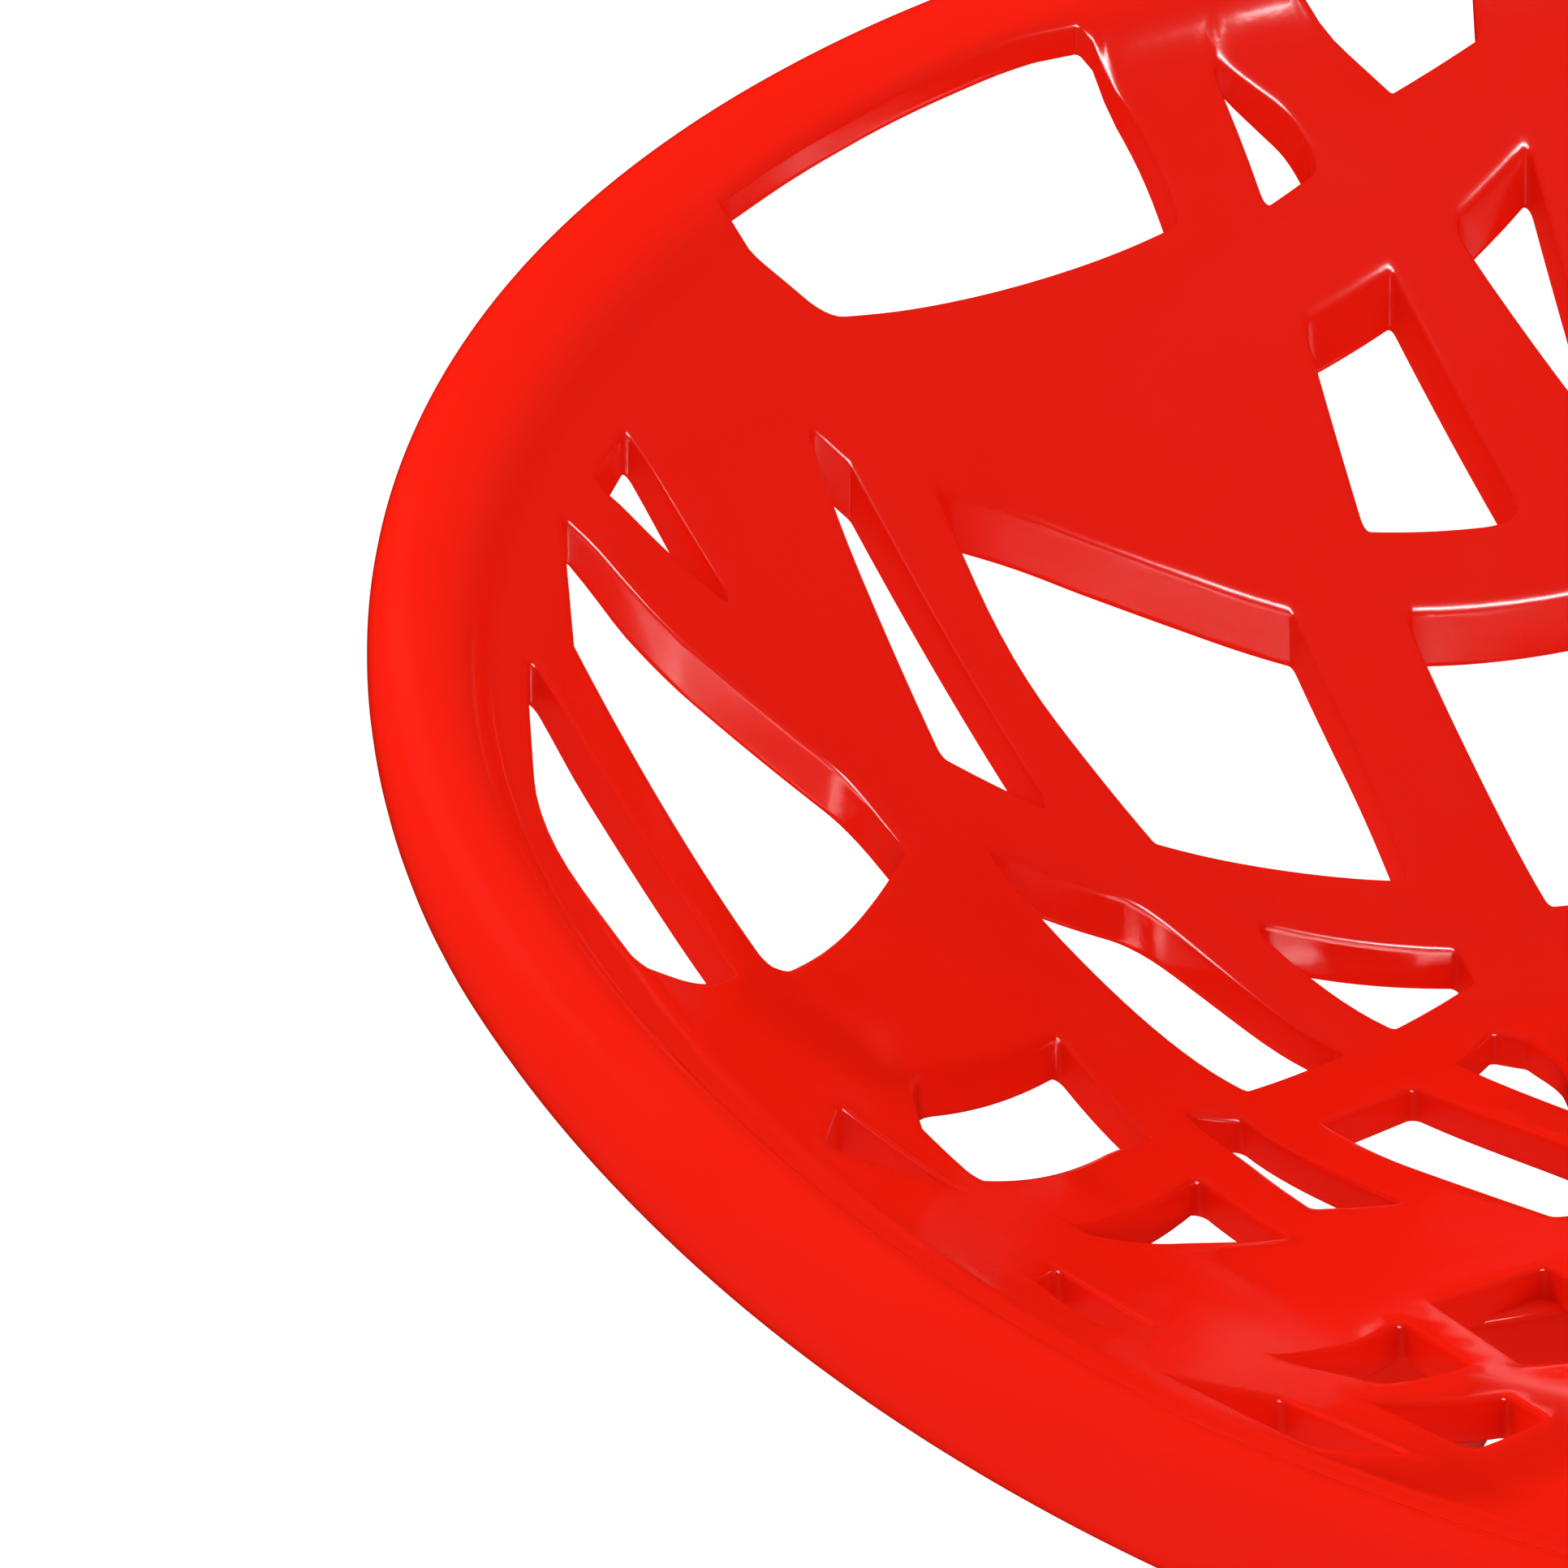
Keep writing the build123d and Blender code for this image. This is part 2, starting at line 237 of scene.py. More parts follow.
def shell_skins(x, y):
    """Heights of the shell's top and underside above the seat. The top is the softened larger of
    the wall and the rim bead's ellipse. The thickness goes from the bead's to the wall's."""
    inset = rim_inset(x, y)
    centre, tall = bead_section(y)
    wall = wall_height(x, y) - BEAD_GROOVE * (1 - smooth_step(0, GROOVE_WIDTH, inset))
    bulge = tall * np.sqrt(np.clip(1 - (inset / RIM_THICK) ** 2, 0, 1))
    bead = centre + bulge - BEAD_FALL * np.maximum(inset - RIM_THICK, 0)
    both = soft_max(wall, bead, BEAD_FILLET)
    top = mix(bead, both, smooth_step(BEAD_MEET, BEAD_FADE, inset))
    thick = (WALL - WALL_THIN * y) * wall_stretch(x, y)
    thin = np.maximum(2 * bulge, RIM_WALL)
    return top, top - mix(thin, thick, smooth_step(BEAD_FADE, UNDER_FADE, inset))


def rim_loop(count, inset):
    """Plan points of the rim line moved inside it by inset along its normal, and that normal."""
    t = np.arange(count) * 2 * pi / count
    reach = shell_reach(np.sin(t))
    x = RIM_HALF_WIDTH * np.cos(t)
    y = reach * np.sin(t)
    normal = np.stack([x / RIM_HALF_WIDTH**2, y / reach**2], 1)
    normal /= np.linalg.norm(normal, axis=1)[:, None]
    return np.stack([x, y], 1) - inset * normal, normal


# Outlines -------------------------------------------------------------------
def counter_clockwise(outline):
    """The outline with its area to the left, by the sign of its shoelace sum."""
    x, y = np.asarray(outline, float).T
    area = np.sum(x * np.roll(y, -1) - y * np.roll(x, -1))
    points = np.stack([x, y], 1)
    return points if area > 0 else points[::-1]


def edge_directions(corner):
    """Unit directions of the edges after and before each corner, and the edges' lengths."""
    ahead = np.roll(corner, -1, 0) - corner
    length = np.linalg.norm(ahead, axis=1)
    ahead = ahead / length[:, None]
    return ahead, np.roll(ahead, 1, 0), length


def rounded(outline, shrink):
    """Closed outline moved inwards by shrink, each corner then replaced by a circular arc that
    touches both edges. The arc runs from its start by radius * sin along the edge before and by
    radius * (1 - cos) along that edge's inner normal."""
    corner = counter_clockwise(outline)
    ahead, behind, _ = edge_directions(corner)
    left = np.array([[0, 1], [-1, 0]])
    inward = ahead @ left + behind @ left
    corner = corner + shrink * inward / (1 + (ahead * behind).sum(1))[:, None]
    ahead, behind, length = edge_directions(corner)
    side = np.sign(behind[:, 0] * ahead[:, 1] - behind[:, 1] * ahead[:, 0])
    turn = np.maximum(np.arccos(np.clip((ahead * behind).sum(1), -1, 1)), 1e-3)
    room = np.minimum(length, np.roll(length, 1))
    wanted = np.where(turn > CORNER_ANGLE, CORNER_RADIUS * np.tan(turn / 2), BOW_SHARE * room)
    tangent = np.minimum(wanted, ARC_SHARE * room)
    radius = (tangent / np.tan(turn / 2))[:, None]
    start = corner - behind * tangent[:, None]
    normal = (behind @ left) * side[:, None]
    angle = (turn[:, None] * np.linspace(0, 1, ARC_POINTS))[..., None]
    bend = behind[:, None] * np.sin(angle) + normal[:, None] * (1 - np.cos(angle))
    return divided((start[:, None] + radius[:, None] * bend).reshape(-1, 2), EDGE_STEP)


def divided(points, step):
    """Closed polyline whose runs longer than step are cut into equal shorter ones."""
    run = np.roll(points, -1, 0) - points
    length = np.linalg.norm(run, axis=1)
    parts = np.maximum(np.ceil(length / step).astype(int), 1)
    parts[length < 1e-3] = 0
    which = np.repeat(np.arange(len(points)), parts)
    place = np.arange(len(which)) - np.repeat(np.cumsum(parts) - parts, parts)
    return points[which] + run[which] * (place / parts[which])[:, None]


def outward_normals(outline):
    """Unit normals away from a counter-clockwise outline's area, one for each point."""
    run = np.roll(outline, -1, 0) - outline
    run = run / np.linalg.norm(run, axis=1)[:, None]
    run = run + np.roll(run, 1, 0)
    run = run / np.linalg.norm(run, axis=1)[:, None]
    return np.stack([run[:, 1], -run[:, 0]], 1)


def clearance(points, outline, reach):
    """Distance of each point from an outline, negative inside it and reach where it is further off.
    A point is inside where the outline crosses the line to its right an odd number of times."""
    found = np.full(len(points), float(reach))
    near = np.all((points > outline.min(0) - reach) & (points < outline.max(0) + reach), axis=1)
    if not near.any():
        return found
    p = points[near][:, None]
    a = outline[None]
    run = np.roll(outline, -1, 0)[None] - a
    share = np.clip(((p - a) * run).sum(2) / (run * run).sum(2), 0, 1)
    away = np.sqrt((((p - a) - run * share[..., None]) ** 2).sum(2)).min(1)
    above = (a[..., 1] > p[..., 1]) != (a[..., 1] + run[..., 1] > p[..., 1])
    rise = np.where(np.abs(run[..., 1]) < 1e-12, 1e-12, run[..., 1])
    cross = a[..., 0] + run[..., 0] * (p[..., 1] - a[..., 1]) / rise
    inside = (above & (p[..., 0] < cross)).sum(1) % 2 == 1
    found[near] = np.where(inside, -away, np.minimum(away, reach))
    return found


def least_clearance(points, outlines, reach):
    """Distance of each point from the nearest of several outlines."""
    found = np.full(len(points), float(reach))
    for outline in outlines:
        found = np.minimum(found, clearance(points, outline, reach))
    return found


def triangulated(points, loops):
    """Delaunay triangles of plan points, with the loops' edges kept. Returns the points, the
    triangles turned counter-clockwise and, for every point given, its place in the result."""
    edges = [pair for loop in loops for pair in zip(loop.tolist(), np.roll(loop, -1).tolist())]
    made = delaunay_2d_cdt([Vector(p) for p in points.tolist()], edges, [], 0, 1e-4)
    spots = np.array([tuple(v) for v in made[0]])
    faces = np.array([list(f) for f in made[2]], int)
    a, b, c = spots[faces[:, 0]], spots[faces[:, 1]], spots[faces[:, 2]]
    turn = (b[:, 0] - a[:, 0]) * (c[:, 1] - a[:, 1]) - (b[:, 1] - a[:, 1]) * (c[:, 0] - a[:, 0])
    faces[turn < 0] = faces[turn < 0][:, ::-1]
    place = np.full(len(points), -1)
    for here, origins in enumerate(made[3]):
        place[origins] = here
    return spots, faces[np.abs(turn) > 1e-9], place


# Meshes ---------------------------------------------------------------------
class Pieces:
    """Vertices in millimetres and faces of several closed parts, gathered into one mesh."""

    def __init__(self):
        self.points = []
        self.faces = []
        self.count = 0

    def add(self, points, faces):
        """Adds points, and faces whose numbers count from the first of them."""
        self.points.append(points)
        self.faces += [face + self.count for face in faces]
        self.count += len(points)

    def build(self, name):
        """Smooth-shaded mesh object at the origin, in metres."""
        mesh = bpy.data.meshes.new(name)
        points = np.concatenate(self.points) * MM
        faces = [face.tolist() for block in self.faces for face in block]
        mesh.from_pydata(points.tolist(), [], faces)
        mesh.polygons.foreach_set("use_smooth", np.ones(len(mesh.polygons), bool))
        mesh.update()
        obj = bpy.data.objects.new(name, mesh)
        bpy.context.scene.collection.objects.link(obj)
        return obj


def strip(upper, lower):
    """Quads between two closed loops of point numbers, facing left of the loops' direction when
    upper is above lower."""
    return np.stack([lower, upper, np.roll(upper, -1), np.roll(lower, -1)], 1)


def strips(rows):
    """Quads between each loop of point numbers and the next."""
    return [strip(upper, lower) for upper, lower in zip(rows[:-1], rows[1:])]


def shell_outlines(shrink):
    """Every opening's rounded plan outline, those of one side mirrored to the other."""
    sides = [np.array(o, float) * (side, 1) for o in SIDE_HOLES.values() for side in (1, -1)]
    return [rounded(o, shrink) for o in sides + list(CENTRE_HOLES.values())]


def edge_rings(outlines, edge_radius, reach):
    """Plan points on the rounded edges of the openings: each outline moved outwards by
    edge_radius * (1 - cos) of equal angles, without the points that come too near another one."""
    rings = []
    for angle in np.linspace(0, pi / 2, EDGE_ROWS)[1:]:
        offset = edge_radius * (1 - cos(angle))
        ring = np.concatenate([o + offset * outward_normals(o) for o in outlines])
        rings.append(ring[least_clearance(ring, outlines, reach) > RING_KEPT * offset - 0.01])
    return rings


def plan_grid(step):
    """Plan points inside the rim's loops, every other row moved sideways by half a step."""
    across = np.arange(-RIM_HALF_WIDTH, RIM_HALF_WIDTH, step)
    x, y = np.meshgrid(across, np.arange(-RIM_FRONT, RIM_FRONT, step))
    x = x + np.where(np.arange(len(y)) % 2, step / 2, 0)[:, None]
    grid = np.stack([x.ravel(), y.ravel()], 1)
    return grid[rim_inset(grid[:, 0], grid[:, 1]) > RIM_LOOPS[-1] + step / 2]


def lattice_plan(outlines, edge_radius, mesh_step, reach):
    """Plan triangles of the shell inside the bead's strip, without those in an opening. Returns the
    points, the triangles, and the point numbers along each opening and along the rim."""
    loops = [rim_loop(RIM_POINTS, inset)[0] for inset in RIM_LOOPS]
    free = np.concatenate(loops + [plan_grid(mesh_step)])
    free = free[least_clearance(free, outlines, reach) > edge_radius + CLEAR_OF_EDGE]
    inner, _ = rim_loop(RIM_POINTS, BEAD_MEET)
    rings = edge_rings(outlines, edge_radius, reach)
    points = np.concatenate([*outlines, inner, *rings, free])
    ends = np.cumsum([len(loop) for loop in (*outlines, inner)])
    edges = np.split(np.arange(ends[-1]), ends[:-1])
    spots, faces, place = triangulated(points, edges)
    faces = faces[least_clearance(spots[faces].mean(1), outlines, reach) > 0]
    *openings, rim = [place[edge] for edge in edges]
    return spots, faces, openings, rim


def bead_points():
    """Points of the rim bead's strip, row by row from its upper seam to its lower one: an ellipse
    of BEAD_ROWS equal angles, carried round the rim line along its normals."""
    line, normal = rim_loop(RIM_POINTS, 0)
    seam = pi - np.arccos(BEAD_MEET / RIM_THICK)
    angle = np.linspace(seam, -seam, BEAD_ROWS)[1:-1, None]
    around = line[None] + (RIM_THICK * np.cos(angle))[..., None] * normal[None]
    centre, tall = bead_section(around[..., 1])
    height = SEAT_HEIGHT + centre + tall * np.sin(angle)
    return np.stack([around[..., 0], around[..., 1] + SHELL_Y, height], -1)


def add_lattice(pieces, edge_radius, mesh_step):
    """Top and underside on one plan triangulation, the cut faces of the openings between them, and
    the rim bead as a strip round its ellipse. Near an opening the skins drop by a quarter circle:
    radius - root of radius^2 - (radius - distance)^2."""
    reach = edge_radius + EDGE_REACH
    outlines = shell_outlines(edge_radius / 2)
    spots, faces, openings, rim = lattice_plan(outlines, edge_radius, mesh_step, reach)
    gap = np.clip(least_clearance(spots, outlines, reach), 0, edge_radius)
    drop = edge_radius - np.sqrt(edge_radius**2 - (edge_radius - gap) ** 2)
    x, y = spots.T
    high, low = shell_skins(x, y)
    top = np.stack([x, y + SHELL_Y, SEAT_HEIGHT + high - drop], 1)
    under = np.stack([x, y + SHELL_Y, SEAT_HEIGHT + low + drop], 1)

    edge = np.concatenate(openings)
    jambs = np.concatenate([top[edge] - (0, 0, JAMB_EDGE), under[edge] + (0, 0, JAMB_EDGE)])
    size = len(spots)
    first = 2 * size
    cuts = []
    for opening in openings:
        upper = first + np.arange(len(opening))
        cuts += strips([opening, upper, upper + len(edge), opening + size])
        first += len(opening)

    bead = bead_points()
    rows = 2 * (size + len(edge)) + np.arange(bead[..., 0].size).reshape(bead.shape[:2])
    hem = [quads[:, ::-1] for quads in strips([rim, *rows, rim + size])]
    points = np.concatenate([top, under, jambs, bead.reshape(-1, 3)])
    pieces.add(points, [faces, faces[:, ::-1] + size, *cuts, *hem])


def stadium(radius):
    """Counter-clockwise slot outline round the two bolts: half circles joined by straight runs."""
    t = np.linspace(-pi / 2, pi / 2, CIRCLE_POINTS)
    right = np.stack([BOSS_PITCH / 2 + radius * np.cos(t), radius * np.sin(t)], 1)
    return np.concatenate([right, -right])


def boss_profile():
    """Offsets from the slot and heights under the seat: a quarter circle at the foot, a hollow
    quarter circle at the flare and a last ring inside the seat."""
    bend = np.linspace(0, pi / 2, BOSS_ROWS)
    rise, run = np.sin(bend), 1 - np.cos(bend)
    foot = np.stack([-BOSS_EDGE * (1 - rise), -BOSS_DROP + BOSS_EDGE * run], 1)
    flare = np.stack([BOSS_FLARE * run, -FLARE_TOP - BOSS_FLARE * (1 - rise)], 1)
    return np.concatenate([foot, flare, [(BOSS_FLARE - ROOF_INSET, -BOSS_ROOF)]])


def add_boss(pieces, centre):
    """A slot-shaped boss: its profile carried round the slot, with two blind holes for inserts."""
    profile = boss_profile()
    slots = np.stack([stadium(BOSS_RADIUS + offset) for offset in profile[:, 0]])
    heights = np.broadcast_to(profile[:, None, 1:], (*slots.shape[:2], 1))
    rings = np.concatenate([slots, heights], 2)

    t = np.arange(CIRCLE_POINTS) * 2 * pi / CIRCLE_POINTS
    circle = INSERT_RADIUS * np.stack([np.cos(t), np.sin(t)], 1)
    holes = [circle + (side * BOSS_PITCH / 2, 0) for _, side in SIDES]
    outlines = [slots[0], *holes]
    ends = np.cumsum([len(outline) for outline in outlines])
    spots, flat, place = triangulated(
        np.concatenate(outlines), np.split(np.arange(ends[-1]), ends[:-1])
    )
    rim, *mouths = np.split(place, ends[:-1])
    flat = flat[least_clearance(spots[flat].mean(1), holes, 1) > 0]
    floor = np.concatenate([spots, np.full((len(spots), 1), -BOSS_DROP)], 1)
    roofs = floor[np.concatenate(mouths)] + (0, 0, INSERT_LENGTH)

    caps = np.split(len(floor) + np.arange(len(roofs)), len(holes))
    rows = len(floor) + len(roofs) + np.arange(rings[1:, :, 0].size).reshape(-1, len(rim))
    sides = [strip(upper, lower)[:, ::-1] for lower, upper in zip([rim, *rows[:-1]], rows)]
    bores = [strip(cap, mouth) for cap, mouth in zip(caps, mouths)]
    points = np.concatenate([floor, roofs, rings[1:].reshape(-1, 3)]) + (*centre, SEAT_HEIGHT)
    pieces.add(
        points, [flat[:, ::-1], *sides, *bores, *[cap[None, ::-1] for cap in caps], rows[-1:]]
    )


# Materials ------------------------------------------------------------------
class Socket:
    """An output socket of a node tree. Arithmetic on it adds Math nodes."""

    def __init__(self, tree, port=None):
        self.tree = tree
        self.port = port

    def node(self, kind, inputs=None, out=0, **settings):
        """Adds a node: its settings first, then its inputs by name or number, values or sockets.
        Returns its output of that name or number."""
        made = self.tree.nodes.new(kind)
        for name, value in settings.items():
            setattr(made, name, value)
        for key, value in (inputs or {}).items():
            if isinstance(value, Socket):
                self.tree.links.new(value.port, made.inputs[key])
            else:
                made.inputs[key].default_value = value
        return Socket(self.tree, made.outputs[out])

    def maths(self, operation, a, b):
        """A Math node on two values or sockets."""
        return self.node("ShaderNodeMath", {0: a, 1: b}, operation=operation)

    def __add__(self, other):
        return self.maths("ADD", self, other)

    def __radd__(self, other):
        return self.maths("ADD", other, self)

    def __mul__(self, other):
        return self.maths("MULTIPLY", self, other)

    def __rmul__(self, other):
        return self.maths("MULTIPLY", other, self)


def new_finish(name, constants):
    """A material with one Principled shader, its fixed values on the shader's own sockets. Returns
    the material, the shader and the object coordinates."""
    material = bpy.data.materials.new(name)
    material.use_nodes = True
    tree = material.node_tree
    shader = tree.nodes["Principled BSDF"]
    for key, value in constants.items():
        shader.inputs[key].default_value = value
    place = Socket(tree).node("ShaderNodeTexCoord", out="Object")
    return material, shader, place


def noise(place, scale, detail=2.0, roughness=0.5):
    """Noise from 0 to 1 at a scale in cycles per metre."""
    return place.node(
        "ShaderNodeTexNoise",
        {"Vector": place, "Scale": scale, "Detail": detail, "Roughness": roughness},
        out="Fac",
    )


def tint(place, share, dark, light):
    """Colour between dark and light by share, by the colour sockets of a Mix node."""
    inputs = {"Factor": share, 6: dark, 7: light}
    return place.node("ShaderNodeMix", inputs, out=2, data_type="RGBA")


def bump(height, strength, distance, normal=None):
    """Normal bent by a height of 0 to 1 over a distance in metres."""
    inputs = {"Strength": strength, "Distance": distance, "Height": height}
    if normal:
        inputs["Normal"] = normal
    return height.node("ShaderNodeBump", inputs)


def wire(shader, **sockets):
    """Links sockets to the shader's inputs, named with _ for a space."""
    for name, socket in sockets.items():
        socket.tree.links.new(socket.port, shader.inputs[name.replace("_", " ")])


def shade(colour, factor):
    """A colour scaled by a factor, opaque."""
    return (colour[0] * factor, colour[1] * factor, colour[2] * factor, 1.0)


def moulded_nylon(look):
    """Glossy dyed nylon: long soft sink marks, a faint flow of tone, and small gloss changes."""
    material, shader, place = new_finish(
        "moulded_nylon", {"IOR": 1.5, "Specular IOR Level": 0.3}
    )
    flow = noise(place, 9.0, detail=3.0)
    colour = tint(place, flow, shade(look.colour, 0.965), shade(look.colour, 1.035))
    haze = noise(place, 38.0, detail=3.0, roughness=0.6)
    sinks = noise(place, 26.0, detail=1.0)
    peel = noise(place, 420.0)
    dents = bump(sinks, strength=0.35, distance=0.0012)
    normal = bump(peel, strength=0.05, distance=0.0004, normal=dents)
    wire(
        shader,
        Base_Color=colour,
        Roughness=look.roughness - 0.03 + 0.06 * haze,
        Normal=normal,
    )
    return material


def powder_coat(look):
    """Satin powder coat: fine orange peel over the metal and a slight change of gloss."""
    material, shader, place = new_finish("powder_coat", {"IOR": 1.5})
    cloud = noise(place, 14.0)
    peel = noise(place, 1300.0)
    wire(
        shader,
        Base_Color=tint(place, cloud, shade(look.colour, 0.95), shade(look.colour, 1.04)),
        Roughness=look.roughness + 0.08 * cloud,
        Normal=bump(peel, strength=0.25, distance=0.0002),
    )
    return material


def glide_nylon(look):
    """Matt black nylon with a fine spark texture and scuffed lighter specks."""
    material, shader, place = new_finish("glide_nylon", {"IOR": 1.5})
    spark = noise(place, 2400.0, detail=1.0)
    scuff = noise(place, 160.0, detail=5.0, roughness=0.7)
    colour = look.glide_colour
    wire(
        shader,
        Base_Color=tint(place, scuff, shade(colour, 0.75), shade(colour, 1.5)),
        Roughness=0.5 + 0.2 * scuff,
        Normal=bump(spark, strength=0.4, distance=0.0002),
    )
    return material


def pad_felt(look):
    """Grey pressed felt: fibre noise in tone and height."""
    material, shader, place = new_finish("pad_felt", {"Specular IOR Level": 0.1})
    fibre = noise(place, 900.0, detail=6.0, roughness=0.8)
    colour = look.pad_colour
    wire(
        shader,
        Base_Color=tint(place, fibre, shade(colour, 0.6), shade(colour, 1.35)),
        Roughness=0.88 + 0.1 * fibre,
        Normal=bump(fibre, strength=0.8, distance=0.0005),
    )
    return material


def plated_metal(name, colour, dull):
    """Plated or turned metal: cloudy tone, fine machining grain and patches that are duller."""
    material, shader, place = new_finish(name, {"Metallic": 1.0})
    cloud = noise(place, 220.0, detail=3.0)
    grain = noise(place, 3000.0)
    wire(
        shader,
        Base_Color=tint(place, cloud, shade(colour, 0.82), shade(colour, 1.05)),
        Roughness=dull + 0.14 * cloud,
        Normal=bump(grain, strength=0.2, distance=0.0001),
    )
    return material


def floor_paint(look):
    """Matt pale paint with a faint cloud of tone and no gloss."""
    material, shader, place = new_finish(
        "floor_paint", {"Roughness": 0.9, "Specular IOR Level": 0.0}
    )
    cloud = noise(place, 1.5)
    colour = look.floor_colour
    wire(shader, Base_Color=tint(place, cloud, shade(colour, 0.995), shade(colour, 1.005)))
    return material


def paint_node(name, material):
    """Gives a carried CAD node this material in every slot."""
    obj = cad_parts[name]
    if not obj.material_slots:
        obj.data.materials.append(material)
    for material_slot in obj.material_slots:
        material_slot.material = material


# Settings -------------------------------------------------------------------
def colour_prop(name, description, default):
    """A colour setting."""
    return bpy.props.FloatVectorProperty(
        name=name, description=description, default=default, subtype="COLOR", size=3, min=0, max=1
    )


class TubChairShell(bpy.types.PropertyGroup):
    """Settings of the moulded shell."""

    colour: colour_prop("Colour", "Colour of the dyed nylon", (0.79, 0.0088, 0.0016))
    roughness: bpy.props.FloatProperty(
        name="Roughness", description="Roughness of the nylon", default=0.14, min=0, max=1
    )
    edge_radius: bpy.props.FloatProperty(
        name="Edge radius",
        description="Rounding of the openings' edges",
        default=1.3 * MM,
        min=0.5 * MM,
        max=3 * MM,
        subtype="DISTANCE",
        unit="LENGTH",
    )
    mesh_step: bpy.props.FloatProperty(
        name="Mesh step",
        description="Distance between the shell's inner mesh points",
        default=5.0 * MM,
        min=3 * MM,
        max=12 * MM,
        subtype="DISTANCE",
        unit="LENGTH",
    )


class TubChairLegs(bpy.types.PropertyGroup):
    """Settings of the legs and their fittings."""

    colour: colour_prop("Colour", "Colour of the legs' powder coat", (0.62, 0.0075, 0.003))
    roughness: bpy.props.FloatProperty(
        name="Roughness", description="Roughness of the powder coat", default=0.32, min=0, max=1
    )
    glide_colour: colour_prop("Glide colour", "Colour of the foot glides", (0.012, 0.012, 0.013))
    pad_colour: colour_prop("Pad colour", "Colour of the felt pads", (0.2, 0.19, 0.18))
    steel_colour: colour_prop("Steel colour", "Colour of the plated screws", (0.58, 0.58, 0.6))
    brass_colour: colour_prop("Brass colour", "Colour of the inserts", (0.75, 0.53, 0.22))


class TubChairStage(bpy.types.PropertyGroup):
    """Settings of the floor, the lights and the camera."""

    floor_colour: colour_prop("Floor colour", "Colour of the floor", (0.93, 0.93, 0.93))
    sky: bpy.props.FloatProperty(
        name="Fill", description="Strength of the even light all round", default=1.05, min=0
    )
    key: bpy.props.FloatProperty(
        name="Key power",
        description="Power of the large light over the back",
        default=30.0,
        min=0,
        subtype="POWER",
        unit="POWER",
    )
    strip: bpy.props.FloatProperty(
        name="Strip power",
        description="Power of the front strip light",
        default=130.0,
        min=0,
        subtype="POWER",
        unit="POWER",
    )
    azimuth: bpy.props.FloatProperty(
        name="Azimuth",
        description="Camera round the chair",
        default=radians(-25),
        subtype="ANGLE",
        unit="ROTATION",
    )
    elevation: bpy.props.FloatProperty(
        name="Elevation",
        description="Camera above the horizon",
        default=radians(20),
        subtype="ANGLE",
        unit="ROTATION",
    )


# Operators ------------------------------------------------------------------
class TUBCHAIR_OT_shell(bpy.types.Operator):
    """Builds the moulded lattice shell with its rolled rim and leg bosses"""

    bl_idname = "tubchair.shell"
    bl_label = "Shell"

    def execute(self, context):
        look = context.scene.tub_chair_shell
        pieces = Pieces()
        add_lattice(pieces, look.edge_radius / MM, look.mesh_step / MM)
        for x, y in BOSSES.values():
            for _, side in SIDES:
                add_boss(pieces, (side * x, y))
        shell = pieces.build("lattice_shell")
        shell.data.materials.append(moulded_nylon(look))
        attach(shell, "root")
        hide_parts("seat_shell")
        return {"FINISHED"}


class TUBCHAIR_OT_legs(bpy.types.Operator):
    """Finishes the four legs in powder coat"""

    bl_idname = "tubchair.legs"
    bl_label = "Legs"

    def execute(self, context):
        finish = powder_coat(context.scene.tub_chair_legs)
        for end in BOSSES:
            for word, _ in SIDES:
                paint_node(f"{end}_{word}_leg", finish)
        return {"FINISHED"}


class TUBCHAIR_OT_feet(bpy.types.Operator):
    """Finishes the foot glides and their felt pads"""

    bl_idname = "tubchair.feet"
    bl_label = "Feet"

    def execute(self, context):
        look = context.scene.tub_chair_legs
        finish = glide_nylon(look)
        for end in BOSSES:
            for word, _ in SIDES:
                paint_node(f"{end}_{word}_glide", finish)
        paint_node("glide_pads", pad_felt(look))
        return {"FINISHED"}


class TUBCHAIR_OT_fixings(bpy.types.Operator):
    """Finishes the bolts, washers, inserts and glide screws"""

    bl_idname = "tubchair.fixings"
    bl_label = "Fixings"

    def execute(self, context):
        look = context.scene.tub_chair_legs
        steel = plated_metal("plated_steel", look.steel_colour, 0.22)
        for name in ("leg_bolts", "leg_washers", "glide_screws"):
            paint_node(name, steel)
        paint_node("threaded_inserts", plated_metal("turned_brass", look.brass_colour, 0.2))
        return {"FINISHED"}


def add_floor(look):
    """A level square just under the chair."""
    corners = FLOOR_HALF * np.array([(-1, -1, 0), (1, -1, 0), (1, 1, 0), (-1, 1, 0)])
    pieces = Pieces()
    pieces.add(corners - (0, 0, FLOOR_DROP), [np.arange(4)[None]])
    floor = pieces.build("floor")
    floor.data.materials.append(floor_paint(look))
    floor.visible_glossy = False


def add_world(look):
    """Even white light from all round, not mirrored in the gloss."""
    world = bpy.data.worlds.new("even_light")
    world.use_nodes = True
    sky = world.node_tree.nodes["Background"]
    sky.inputs["Color"].default_value = (1, 1, 1, 1)
    sky.inputs["Strength"].default_value = look.sky
    world.cycles_visibility.glossy = False
    bpy.context.scene.world = world


def link_aimed(obj, place, target):
    """Links a light or camera at a place, turned to look at a target, both in metres."""
    obj.location = place
    obj.rotation_euler = (Vector(target) - Vector(place)).to_track_quat("-Z", "Y").to_euler()
    bpy.context.scene.collection.objects.link(obj)


def add_light(name, power, size, place, target, glossy=True, diffuse=True):
    """A rectangular light of a size in metres that the camera doesn't see."""
    light = bpy.data.lights.new(name, "AREA")
    light.shape = "RECTANGLE"
    light.size, light.size_y = size
    light.energy = power
    obj = bpy.data.objects.new(name, light)
    obj.visible_camera = False
    obj.visible_glossy = glossy
    obj.visible_diffuse = diffuse
    link_aimed(obj, place, target)


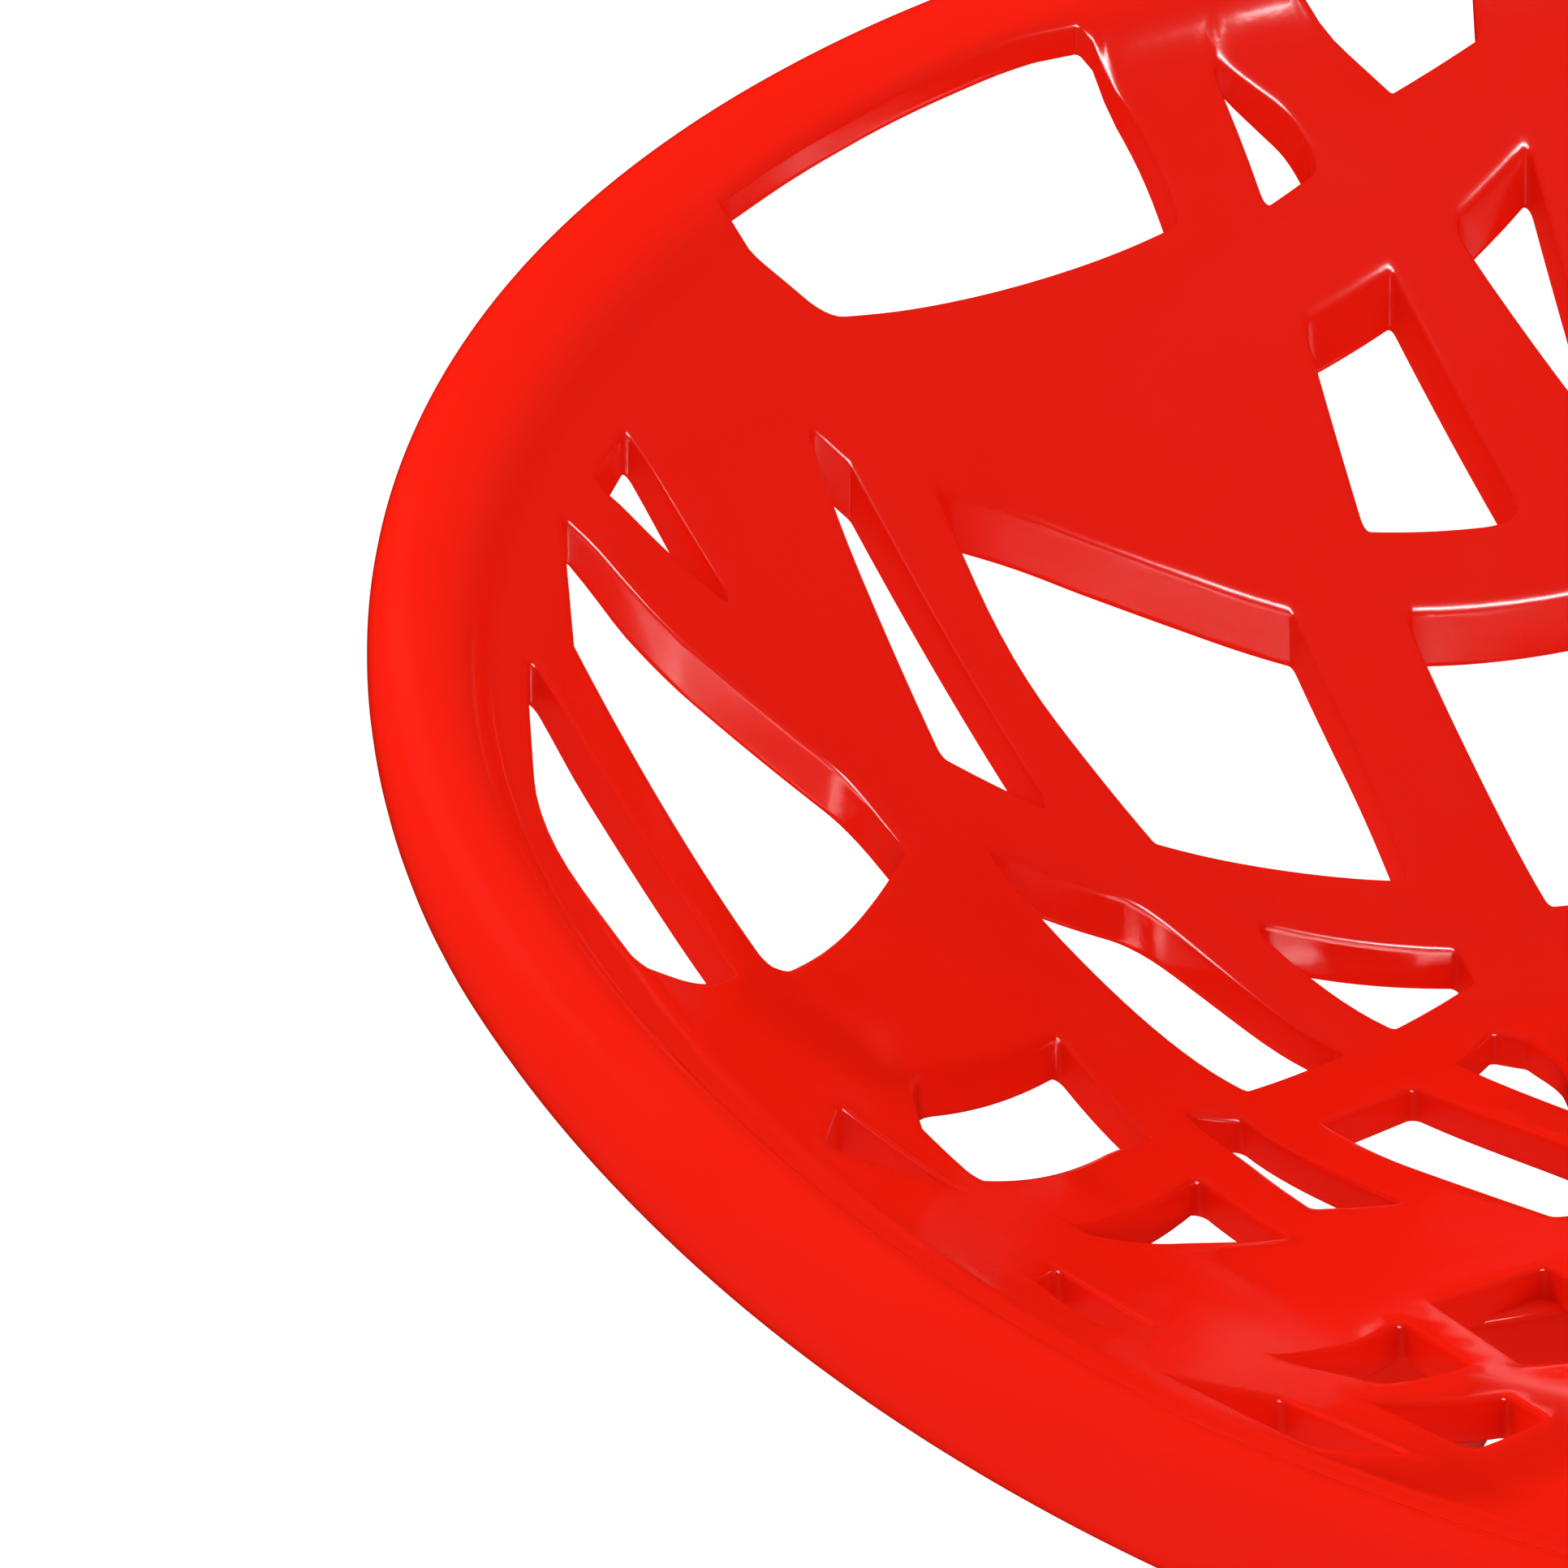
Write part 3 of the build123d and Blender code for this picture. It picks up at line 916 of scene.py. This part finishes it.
def add_camera(look):
    """A long lens aimed at the shell's back left, placed by azimuth, elevation and distance."""
    camera = bpy.data.cameras.new("camera")
    camera.lens = CAMERA_LENS
    camera.clip_end = CAMERA_REACH
    a, e = look.azimuth, look.elevation
    back = Vector((sin(a) * cos(e), -cos(a) * cos(e), sin(e)))
    aim = Vector(CAMERA_AIM)
    obj = bpy.data.objects.new("camera", camera)
    link_aimed(obj, aim + back * CAMERA_DISTANCE, aim)
    bpy.context.scene.camera = obj


class TUBCHAIR_OT_stage(bpy.types.Operator):
    """Sets up the pale floor, the soft lights and the camera"""

    bl_idname = "tubchair.stage"
    bl_label = "Stage"

    def execute(self, context):
        look = context.scene.tub_chair_stage
        context.scene.view_settings.view_transform = "Standard"
        add_floor(look)
        add_world(look)
        add_light("key_light", look.key, KEY_SIZE, KEY_PLACE, KEY_TARGET, glossy=False)
        add_light("strip_light", look.strip, STRIP_SIZE, STRIP_PLACE, STRIP_TARGET, diffuse=False)
        add_camera(look)
        return {"FINISHED"}


OPERATORS = (
    TUBCHAIR_OT_shell,
    TUBCHAIR_OT_legs,
    TUBCHAIR_OT_feet,
    TUBCHAIR_OT_fixings,
    TUBCHAIR_OT_stage,
)
SETTINGS = {
    "tub_chair_shell": TubChairShell,
    "tub_chair_legs": TubChairLegs,
    "tub_chair_stage": TubChairStage,
}


class TUBCHAIR_PT_panel(bpy.types.Panel):
    """Lists the chair's pieces and settings"""

    bl_label = "Tub Chair"
    bl_idname = "TUBCHAIR_PT_panel"
    bl_space_type = "VIEW_3D"
    bl_region_type = "UI"
    bl_category = "Tub Chair"

    def draw(self, context):
        for name, settings in SETTINGS.items():
            box = self.layout.box()
            for prop in settings.__annotations__:
                box.prop(getattr(context.scene, name), prop)
        for operator in OPERATORS:
            self.layout.operator(operator.bl_idname)


def register():
    for cls in (*SETTINGS.values(), *OPERATORS, TUBCHAIR_PT_panel):
        bpy.utils.register_class(cls)
    for name, settings in SETTINGS.items():
        setattr(bpy.types.Scene, name, bpy.props.PointerProperty(type=settings))


def unregister():
    for name in SETTINGS:
        delattr(bpy.types.Scene, name)
    for cls in (TUBCHAIR_PT_panel, *reversed(OPERATORS), *SETTINGS.values()):
        bpy.utils.unregister_class(cls)


def main():
    register()
    bpy.ops.tubchair.shell()
    bpy.ops.tubchair.legs()
    bpy.ops.tubchair.feet()
    bpy.ops.tubchair.fixings()
    bpy.ops.tubchair.stage()


if __name__ == "__main__":
    main()
